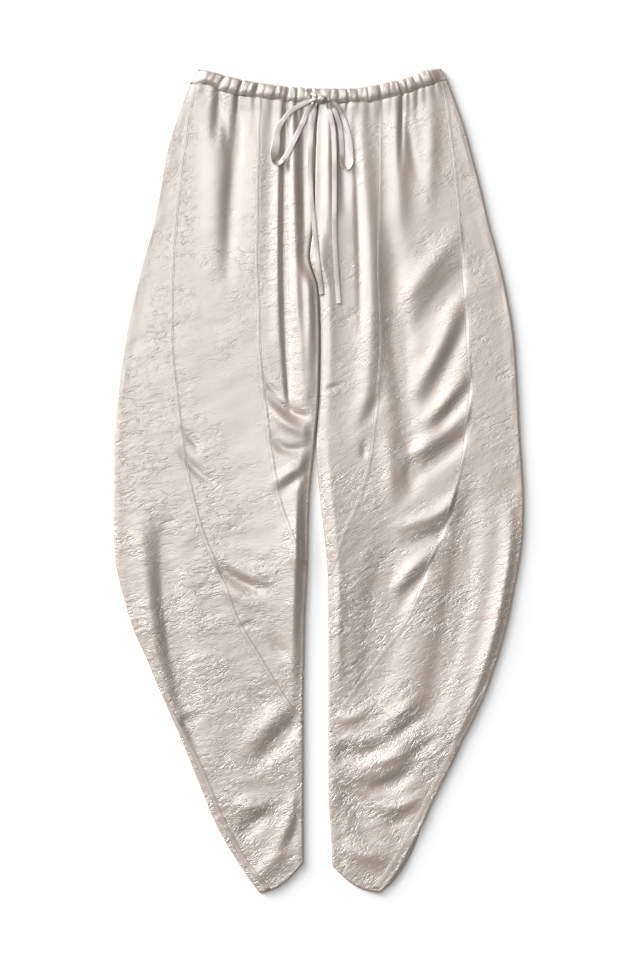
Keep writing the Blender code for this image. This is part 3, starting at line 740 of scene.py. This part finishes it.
# %% [markdown]
# ## Panels
# Each panel keeps its own mesh, as the cut pieces do. Rows are 2.2 mm apart and columns about as far,
# which is finer than two picture elements, so folds and coarse crinkle are real shape. Columns crowd near
# the rims, where the cloth turns under.

# %% Rows and columns of a panel
ROW_STEP = 2.2
RIM_REACH = 10.0
RIM_STEPS = 9


def row_steps(start, end, middle_steps, rim_first, rim_last):
    """Distances round the loop for each row, finer within the reach of a rim."""
    edge = np.minimum(RIM_REACH, 0.3 * (end - start))[:, None]
    start, end = start[:, None], end[:, None]
    from_edge, to_edge = start + edge * rim_first, end - edge * rim_last
    pieces = [from_edge + np.linspace(0, 1, middle_steps + 1) * (to_edge - from_edge)]
    if rim_first:
        pieces.insert(0, start + np.linspace(0, 1, RIM_STEPS + 1)[:-1] * edge)
    if rim_last:
        pieces.append(to_edge + np.linspace(0, 1, RIM_STEPS + 1)[1:] * edge)
    return np.concatenate(pieces, axis=1)


def seam_end(leg, name):
    """Height on the inner edge at which a seam has turned under."""
    fine = np.linspace(leg.top, leg.hem, 6001)
    return fine[np.argmax(leg.seam_arc(name, fine) < -5)]


def leg_ranges(leg, y):
    """For each panel: its start and end in every row as distances round the loop, the rows that it has, its
    number of columns between the rims, and whether it starts and ends at a rim."""
    length = leg.width(y) + (np.pi - 2) * RIM_RADIUS
    turned = -TURN_UNDER * ease((CROTCH_Y - y) / (CROTCH_Y - CROTCH_OPEN_Y))
    every_row = y > -np.inf
    inner, outer, back = (leg.seam_arc(name, y) for name in ("inner_seam", "outer_seam", "back_seam"))
    past_centre = ease((BACK_LEAVES_CENTRE_Y - y) / (BACK_LEAVES_CENTRE_Y - CROTCH_Y))
    turned_reach = TURN_UNDER + (1 - np.pi / 2) * RIM_RADIUS + SEAM_GAP
    back_end = length + leg.width(y) + (np.pi / 2 - 1) * RIM_RADIUS - past_centre * turned_reach
    inner_end, outer_end = seam_end(leg, "inner_seam"), seam_end(leg, "outer_seam")
    half = SEAM_GAP / 2
    front = np.where(y <= inner_end, turned, inner + half)
    side = np.where(y <= outer_end, turned, outer + half)
    return {
        "inner_panel": (turned, inner - half, y > inner_end, 34, 1, 0),
        "front_panel": (front, outer - half, y > outer_end, 58, 1, 0),
        "side_panel": (side, back - half, every_row, 62, 1, 1),
        "back_panel": (back + half, back_end, every_row, 16, 1, 0),
    }


# %% Build the eight panels
CLOTH = 0.8

for label, leg in legs.items():
    rows = np.append(np.arange(leg.top, leg.hem, -ROW_STEP), leg.hem)
    for panel, (start, end, kept, middle, first, last) in leg_ranges(leg, rows).items():
        arcs = row_steps(start[kept], end[kept], middle, first, last)
        points = leg.points(rows[kept][:, None], arcs)[::-1]
        node = f"{label}_{panel}"
        obj = grid_mesh(f"{node}_cloth", points, flip=leg.side < 0)
        mark_crinkle(obj)
        give_thickness(obj, CLOTH)
        settle(obj, node, leg_satin[label])

# %% [markdown]
# ## Waist casing
# The casing is a narrow tube of the same satin with elastic inside. The elastic pulls it into gathers:
# soft swells parted by sharp grooves. Its top edge scallops with them. It is one more loop with half-
# circle rims at its ends, and its sewn edge laps over the legs' upper edge and dips to it.

# %% Casing surface
CASING_SWELL = 1.9
CASING_CLOTH = 1.4
CASING_LAP = 0.07
LAP_DROP = 6.0
SEWN_DIP = 0.6
TOP_DIP = 1.1
# Height, length, cells up the casing and seed of each pucker noise
PUCKERS = ((0.4, 3.2, 2.2, 41), (1.6, 9, 1.7, 43))


def casing_points(up, arc):
    """From the sewn edge (up 0) to the top (up 1): a half sine, pinched at gathers, puckered by noise."""
    up, arc = np.broadcast_arrays(up, arc)
    lower_x, lower_y, top_x, top_y = CASING.T
    left = lower_x[0] + up * (top_x[0] - lower_x[0])
    width = lower_x[-1] + up * (top_x[-1] - lower_x[-1]) - left
    across, plain_z, on_top = round_loop(arc, width, CASING_RIM_RADIUS)
    share = across / width
    sewn_x = lower_x[0] + share * (lower_x[-1] - lower_x[0])
    edge_x = top_x[0] + share * (top_x[-1] - top_x[0])
    sewn_y = smooth_table(lower_x, lower_y, sewn_x)
    edge_y = smooth_table(top_x, top_y, edge_x)
    pinch = np.zeros(share.shape)
    for gather_x, depth, half_width, _ in GATHERS:
        lean = 1.5 * np.sin(2 * gather_x) * (up - 0.5)
        pinch += depth * np.exp(-(((sewn_x - gather_x - lean) / (0.75 * half_width)) ** 2))
    swell = WAIST_RISE + CASING_SWELL * np.sin(np.pi * np.clip(up, 0, 1)) ** 0.6
    swell -= SEWN_DIP * ease(1 - up / 0.3) + pinch * (0.75 + 0.4 * np.sin(np.pi * up))
    for height, length, cells, seed in PUCKERS:
        swell += height * (lattice_noise(sewn_x / length, up * cells, seed) - 0.5)
    drop = TOP_DIP * ease((up - 0.9) / 0.1) + LAP_DROP * np.clip(-up, 0, 1)
    z = plain_z + ease(on_top / PUFF_RISE) * swell - drop * (on_top > 0)
    scallop = up * (0.5 - 0.55 * pinch) * (on_top > 0)
    x, y = sewn_x + up * (edge_x - sewn_x), sewn_y + up * (edge_y - sewn_y)
    return np.stack([x, y + scallop, z], axis=-1)


# %% Build the casing
CASING_ROWS = 20
FRONT_COLUMNS = 461
BACK_COLUMNS = 121
up = np.linspace(-CASING_LAP, 1, CASING_ROWS)[:, None]
sewn_width, _, top_width, _ = CASING[-1] - CASING[0]
casing_width = sewn_width + up * (top_width - sewn_width)
casing_length = casing_width + (np.pi - 2) * CASING_RIM_RADIUS
front_arc = -TURN_UNDER + np.linspace(0, 1, FRONT_COLUMNS) * (casing_length + 2 * TURN_UNDER)
back_from = casing_length + TURN_UNDER + SEAM_GAP
back_span = 2 * casing_length - TURN_UNDER - SEAM_GAP - back_from
back_arc = back_from + np.linspace(0, 1, BACK_COLUMNS) * back_span
for node, arc in (("waistband_front", front_arc), ("waistband_back", back_arc)):
    obj = grid_mesh(f"{node}_cloth", casing_points(up, arc))
    give_thickness(obj, CASING_CLOTH)
    settle(obj, node, waist_satin)
    print(obj.name, len(obj.data.vertices), "points")

# %% [markdown]
# ## Flat felled seams
# A felled seam folds both raw edges under a flat band and sews it down twice. Seen from above, it is a
# slightly raised band 6.4 mm wide with a line of stitches along each side. Here it is a strip carried
# along the seam: it takes the leg's own surface at each place and lifts it, most in the middle and not at
# all at its edges.

# %% Felled bands
BAND_HALF = 3.2
BAND_LIFT = 0.32
BAND_SINK = 0.12
BAND_LIP = 0.3
BAND_PUCKER = 0.14
BAND_ROW_STEP = 1.9
BAND_COLUMNS = 19
BAND_CLOTH = 0.3
GROOVE_DEPTH = 0.22
GROOVE_HALF = 0.35
STITCH_INSET = 1.15
BAND_SHIFT = {("left", "inner_seam"): 2.4}
seam_lines = {}


def seam_scale(leg, name, y):
    """How much wider a band is along a row than square to a slanted seam: the root of 1 + slope squared."""
    slope = (leg.seam_arc(name, y + 1) - leg.seam_arc(name, y - 1)) / 2
    return np.minimum(np.sqrt(1 + slope ** 2), 1.9)


def band_points(leg, name, y, across, lift):
    """Leg surface beside a seam, `across` millimetres from it, lifted."""
    arc = leg.seam_arc(name, y) + across * seam_scale(leg, name, y)
    points = leg.points(y, arc)
    points[..., 2] += lift
    return points


def seam_rows(leg, name):
    """Rows in which a seam shows on top."""
    fine = np.arange(leg.top - 0.5, leg.hem + 0.5, -BAND_ROW_STEP)
    arc = leg.seam_arc(name, fine)
    if name == "back_seam":
        arc = leg.width(fine) + (np.pi - 2) * RIM_RADIUS - arc
    return fine[arc > 0.5]


for label, leg in legs.items():
    for name in ("inner_seam", "outer_seam", "back_seam"):
        y = seam_rows(leg, name)[:, None]
        across = BAND_HALF * np.linspace(-1, 1, BAND_COLUMNS)
        flank = np.abs(across) / BAND_HALF
        pucker = BAND_PUCKER * (lattice_noise(y / 2.6, across / 3 + 7, 57) - 0.5)
        groove = GROOVE_DEPTH * np.exp(-(((np.abs(across) - BAND_HALF + STITCH_INSET) / GROOVE_HALF) ** 2))
        lip = BAND_LIP * np.exp(-(((across + BAND_HALF - BAND_LIP) / BAND_LIP) ** 2))
        profile = BAND_LIFT * (1 - flank ** 10) - groove + lip + pucker
        shift = BAND_SHIFT.get((label, name), 0)
        points = band_points(leg, name, y, across + shift, profile - BAND_SINK)[::-1]
        obj = grid_mesh(f"{label}_{name}_band", points, flip=leg.side < 0)
        give_thickness(obj, BAND_CLOTH)
        settle(obj, None, leg_satin[label])
        seam_lines[label, name] = y
        print(obj.name, len(obj.data.vertices), "points")

# %% [markdown]
# ## Topstitching
# A lockstitch shows as a row of short threads that dip into the cloth at both ends. Each is a small
# capsule here, laid along its line, and all stitches of one line are one mesh. Both edges of a felled
# band, the hems and the casing's lower edge have one line each.

# %% Stitches
STITCH_LENGTH = 2.3
STITCH_PITCH = 3.1
STITCH_RADIUS = 0.2
STITCH_RINGS = 5
STITCH_SIDES = 6
STITCH_LIFT = (0, 0, 0.1)
HEM_ROWS = {"left": -455.0, "right": -471.0}


def unit(vectors):
    """Each vector divided by its length."""
    return vectors / np.linalg.norm(vectors, axis=1)[:, None]


def distances(line):
    """Distance along a line at each of its points."""
    return np.concatenate([[0], np.cumsum(np.linalg.norm(np.diff(line, axis=0), axis=1))])


def places_along(line, wanted):
    """Points of a line at these distances along it."""
    along = distances(line)
    return np.stack([np.interp(wanted, along, column) for column in line.T], axis=1)


def even_places(line, pitch):
    """Points this far apart along a line, and the line's direction at each."""
    wanted = np.arange(pitch / 2, distances(line)[-1], pitch)
    heading = places_along(line, wanted + 0.5) - places_along(line, wanted - 0.5)
    return places_along(line, wanted), unit(heading)


def stitch_line(name, line):
    """One mesh of capsules. Ring k of 5 has radius r sin(pi k / 4), and the end rings sink in."""
    places, heading = even_places(line, STITCH_PITCH)
    side = unit(np.cross(heading, (0, 0, 1)))
    rise = np.cross(side, heading)
    turns = np.arange(STITCH_SIDES) * 2 * np.pi / STITCH_SIDES
    ring, turn = np.meshgrid(np.linspace(0, 1, STITCH_RINGS), turns, indexing="ij")
    bow = np.sin(np.pi * (0.06 + 0.88 * ring))
    along = STITCH_LENGTH * (ring - 0.5)
    across = STITCH_RADIUS * bow * np.cos(turn)
    up = STITCH_RADIUS * (bow * np.sin(turn) + 1.6 * (bow - 1))
    points = places[:, None, None] + along[..., None] * heading[:, None, None]
    points = points + across[..., None] * side[:, None, None] + up[..., None] * rise[:, None, None]
    number = np.arange(ring.size).reshape(ring.shape)
    after = np.roll(number, -1, axis=1)
    quads = np.stack([number[:-1], after[:-1], after[1:], number[1:]], axis=-1).reshape(-1, 4)
    faces = (quads[None] + ring.size * np.arange(len(places))[:, None, None]).reshape(-1, 4)
    mesh = bpy.data.meshes.new(name)
    mesh.from_pydata((points * MM).reshape(-1, 3).tolist(), [], faces.tolist())
    mesh.shade_smooth()
    settle(add_object(name, mesh), None, thread)
    return len(places)


stitch_count = 0
for (label, name), y in seam_lines.items():
    for edge, side in (("inner", -1), ("outer", 1)):
        across = BAND_SHIFT.get((label, name), 0) + side * (BAND_HALF - STITCH_INSET)
        line = band_points(legs[label], name, y, np.array([across]), STITCH_LIFT[2])[:, 0]
        stitch_count += stitch_line(f"{label}_{name}_stitches_{edge}", line)
for label, leg in legs.items():
    arc = np.linspace(5, float(leg.width(HEM_ROWS[label])) - 8, 90)
    line = leg.points(np.full(90, HEM_ROWS[label]), arc) + STITCH_LIFT
    stitch_count += stitch_line(f"{label}_hem_stitches", line)
arc = np.linspace(6, float(casing_width[0, 0]) - 4, 700)
line = casing_points(np.full(700, 0.1), arc) + STITCH_LIFT
stitch_count += stitch_line("waistband_stitches", line)
print("stitches:", stitch_count)

# %% [markdown]
# ## Drawstring
# The drawstring is a narrow flat strip of the same satin. It comes out of the casing beside the centre,
# and is tied in a bow with two limp loops. It is soft, so it lies on the folds below and banks where it
# turns. The left loop lies broader near its bottom. Here each stretch is a flat loop of points swept along
# its route, at the height of the highest cloth below it.

# %% Routes of the drawstring, x and y from the knot outwards
DRAWSTRING = {
    "drawstring_left_end": table(2, """
-3.4 479.6  -6.2 470  -9.5 451  -11.7 421  -11.7 390  -10.3 360  -7.2 330  -4.4 300  -1.1 269.5
2.8 236.5
"""),
    "drawstring_right_end": table(2, """
7.6 479.4  12.2 471  14.8 461  18 441  19.2 400  19.2 360  19.2 320  21 280  23.1 249  24.8 225
"""),
    "drawstring_left_loop": table(2, """
-4.2 484.4  -13 482  -24.5 477  -39 467  -52.5 448.5  -57 430  -59.8 414  -58.3 405.5  -52.5 402.5
-45.8 409  -38.8 419.5  -30 437  -21.5 455  -15.5 470  -7.4 480.8
"""),
    "drawstring_right_loop": table(2, """
10.6 484.8  17 480.5  24 473.5  31.2 459.5  35.8 446  39 432  40.3 417  39.6 402.5  34.4 396.8
29 402.5  28.6 414  28.2 428  26 448.5  22 463  17.2 473  12.1 480
"""),
    "drawstring_lead": table(2, "-18 497  -12.5 493.6  -8.4 490.4  -3.6 488"),
}
TAPE_WIDTH = 6.3
TAPE_THICKNESS = 0.8
TAPE_STEP = 1.4
KNOT_REACH = 9
BANK_PER_CURVE = 6
MOST_BANK = 0.75
BROAD_PLACE = 92
BROAD_REACH = 24
BROAD_END = 112
KNOT_PLACE = (3.2, 485.3)

# %% Height of the cloth under the drawstring
bpy.context.view_layer.update()
graph = bpy.context.evaluated_depsgraph_get()
near_bow = ("left_inner_panel_cloth", "right_inner_panel_cloth", "waistband_front_cloth")
cloth_trees = [BVHTree.FromObject(bpy.data.objects[name], graph) for name in near_bow]


def cloth_top(x, y):
    """Height of the highest cloth at a place, in millimetres."""
    hits = [tree.ray_cast(Vector((x * MM, y * MM, 0.1)), Vector((0, 0, -1)))[0] for tree in cloth_trees]
    return max((hit.z / MM for hit in hits if hit), default=0.0)


def smooth_route(route, step):
    """Catmull-Rom curve through the points, as places this far apart, and the distance along it."""
    reach = distances(route)
    fine = np.linspace(0, reach[-1], 1200)
    padded = np.concatenate([[2 * route[0] - route[1]], route, [2 * route[-1] - route[-2]]])
    k = np.clip(np.searchsorted(reach, fine, side="right") - 1, 0, len(route) - 2)
    u = ((fine - reach[k]) / (reach[k + 1] - reach[k]))[:, None]
    p0, p1, p2, p3 = padded[k], padded[k + 1], padded[k + 2], padded[k + 3]
    curve = p1 + 0.5 * u * (p2 - p0 + u * (2 * p0 - 5 * p1 + 4 * p2 - p3 + u * (3 * (p1 - p2) + p3 - p0)))
    length = distances(curve)[-1]
    wanted = np.linspace(0, length, round(length / step) + 1)
    return places_along(curve, wanted), wanted


def running(values, reach, pick):
    """Running maximum or mean over this many places on both sides."""
    padded = np.pad(values, reach, mode="edge")
    return pick(np.lib.stride_tricks.sliding_window_view(padded, 2 * reach + 1), axis=1)


# %% The strip swept along a route


def blunt(values, power):
    """Values from -1 to 1 pushed outwards, which squares an oval."""
    return np.sign(values) * np.abs(values) ** power


def strip_points(centre, half_width, bank, thickness):
    """Flat oval ring at each place: c + (w cos a) side + (t sin a) rise, both turned by the bank."""
    heading = unit(np.gradient(centre, axis=0))
    level = unit(np.cross(heading, (0, 0, 1)))
    upward = np.cross(level, heading)
    side = level * np.cos(bank)[:, None] + upward * np.sin(bank)[:, None]
    rise = upward * np.cos(bank)[:, None] - level * np.sin(bank)[:, None]
    turn = np.linspace(0, 2 * np.pi, 21)[:-1]
    across = blunt(np.cos(turn), 0.6)
    depth = blunt(np.sin(turn), 0.5)
    depth = depth - 0.5 * np.exp(-(((across - 0.62) / 0.12) ** 2)) * (depth > 0)
    points = centre[:, None] + (half_width[:, None] * across)[..., None] * side[:, None]
    return points + (thickness[:, None] / 2 * depth)[..., None] * rise[:, None]


TAPES = {}
for name, route in DRAWSTRING.items():
    places, along = smooth_route(route, TAPE_STEP)
    heading = unit(np.gradient(places, along, axis=0))
    beside = np.stack([heading[:, 1], -heading[:, 0]], axis=1)
    both_ends = "end" not in name
    from_knot = np.minimum(along, along[-1] - along) if both_ends else along
    width = TAPE_WIDTH * (0.42 + 0.58 * ease(from_knot / 16))
    width *= 1 + 0.05 * (lattice_noise(along / 14, along * 0 + len(name), 61) - 0.5)
    if name == "drawstring_left_loop":
        spread = np.exp(-(((along - BROAD_PLACE) / BROAD_REACH) ** 2)) * ease((BROAD_END - along) / 10)
        width *= 1 + 0.8 * spread
        places -= (2.6 * spread)[:, None] * beside
    floor = np.array([
        max(cloth_top(*(place + share * half * out)) for share in (-1, -0.5, 0, 0.5, 1))
        for place, out, half in zip(places, beside, width / 2)
    ])
    floor = running(running(floor, 5, np.max), 4, np.mean)
    curvature = np.gradient(np.unwrap(np.arctan2(heading[:, 1], heading[:, 0])), along)
    bank = np.clip(running(curvature, 6, np.mean) * BANK_PER_CURVE, -MOST_BANK, MOST_BANK)
    bank += 0.16 * (lattice_noise(along / 22, along * 0 + 3 * len(name), 67) - 0.5)
    near_knot = 1 - ease(from_knot / KNOT_REACH)
    thickness = TAPE_THICKNESS * (1 + 1.3 * near_knot)
    height = floor + 0.2 + thickness / 2 + np.abs(np.sin(bank)) * width / 2 + 1.3 * near_knot
    centre = np.column_stack([places, height])
    points = strip_points(centre, width / 2, bank, thickness)
    middles = points.mean(axis=1, keepdims=True) + 0 * points
    points = np.concatenate([middles[:1], points, middles[-1:]])
    obj = grid_mesh(f"{name}_strip", points, closed=True)
    settle(obj, name, tape_satin)
    TAPES[name] = (obj, centre)
    print(obj.name, "length", round(float(along[-1])), "mm")

# %% [markdown]
# ## Knot
# The knot is the strip wrapped once round the bow's middle. A lump with soft pleats carries the loops, and
# a short band lies over it with its edges rolled.

# %% Knot
CORE_SIZE = np.array((5.0, 3.4, 2.3))
CORE_LIFT = 2.5
WRAP_HALF_WIDTH = 2.3
WRAP_HALF_THICKNESS = 0.45
WRAP_LEAN = math.radians(-24)
WRAP_SIZE = (3.9, 2.7)
WRAP_LIFT = 2.7
knot_floor = max(cloth_top(KNOT_PLACE[0] + i, KNOT_PLACE[1] + j) for i in (-4, 0, 4) for j in (-3, 0, 3))
turn, tilt = np.meshgrid(np.linspace(0, 2 * np.pi, 49)[:-1], np.linspace(-np.pi / 2, np.pi / 2, 25))
pleat = 1 + 0.1 * np.cos(5 * turn + 2 * tilt) + 0.06 * np.cos(9 * turn - 3 * tilt)
ball = [np.cos(turn) * np.cos(tilt) * pleat, np.sin(turn) * np.cos(tilt) * pleat, np.sin(tilt)]
core = np.stack(ball, axis=-1) * CORE_SIZE + (*KNOT_PLACE, knot_floor + CORE_LIFT)
knot = grid_mesh("drawstring_knot_core", core, closed=True)
settle(knot, "drawstring_knot", tape_satin)

around = np.linspace(0, 2 * np.pi, 61)[:, None]
ring = np.linspace(0, 2 * np.pi, 17)[:-1]
across = blunt(np.cos(ring), 0.6)
depth = WRAP_HALF_THICKNESS * blunt(np.sin(ring), 0.5)
edge_roll = 1 + 0.1 * across ** 4
run_x = WRAP_HALF_WIDTH * across + 0.5 * np.sin(2 * around)
run_y = np.cos(around) * (WRAP_SIZE[0] + depth) * edge_roll
run_z = np.sin(around) * (WRAP_SIZE[1] + depth) * edge_roll
turned_x = run_x * math.cos(WRAP_LEAN) - run_y * math.sin(WRAP_LEAN)
turned_y = run_x * math.sin(WRAP_LEAN) + run_y * math.cos(WRAP_LEAN)
wrap = np.stack([turned_x, turned_y, run_z], axis=-1)
wrap += (KNOT_PLACE[0] - 0.3, KNOT_PLACE[1], knot_floor + WRAP_LIFT)
band = grid_mesh("drawstring_knot_band", wrap, closed=True)
settle(band, None, tape_satin)
print("knot top:", round(float(wrap[..., 2].max()), 2), "mm")

# %% [markdown]
# ## Floor and light
# A cut-out photo has a white ground with a soft shadow to the lower right. Its flat satin shines white,
# so a large round softbox hangs almost overhead, where flat cloth mirrors it to the camera. Two
# wide suns from the upper left, one lower than the other, give the folds their light and dark sides and
# the floor its shadow. A dim white sky fills the rest.

# %% Floor, lamps and sky
floor_mesh = bpy.data.meshes.new("floor")
floor_mesh.from_pydata([(-4, -4, 0), (4, -4, 0), (4, 4, 0), (-4, 4, 0)], [], [(0, 1, 2, 3)])
floor = add_object("floor", floor_mesh)
floor_paint = bpy.data.materials.new("white table")
floor_paint.use_nodes = True
floor_shader = floor_paint.node_tree.nodes["Principled BSDF"]
floor_shader.inputs["Base Color"].default_value = (0.92, 0.92, 0.92, 1)
floor_shader.inputs["Roughness"].default_value = 0.9
floor_shader.inputs["Specular IOR Level"].default_value = 0.1
floor_mesh.materials.append(floor_paint)


def lamp(name, kind, place, energy):
    """A lamp that shines from a place towards the origin."""
    data = bpy.data.lights.new(name, kind)
    data.energy = energy
    obj = add_object(name, data, place)
    obj.rotation_euler = (-obj.location).to_track_quat("-Z", "Y").to_euler()
    return data


softbox = lamp("softbox", "AREA", (-1.3, 0.9, 6.1), 112)
softbox.shape = "DISK"
softbox.size = 2.9
lamp("side", "SUN", (-1.75, 1.2, 1.35), 2.3).angle = math.radians(50)
lamp("low", "SUN", (-1.9, 1.3, 0.66), 3.4).angle = math.radians(34)
world = bpy.data.worlds.new("studio")
world.use_nodes = True
world.node_tree.nodes["Background"].inputs["Color"].default_value = (1, 1, 1, 1)
world.node_tree.nodes["Background"].inputs["Strength"].default_value = 0.18
bpy.context.scene.world = world
bpy.context.scene.view_settings.view_transform = "Standard"
print("lamps:", len(bpy.data.lights))

# %% [markdown]
# The free ends are bare, and the loops go back into the knot. The short lead and the knot belong to the
# left free end.

# %% Finish
lead, _ = TAPES.pop("drawstring_lead")
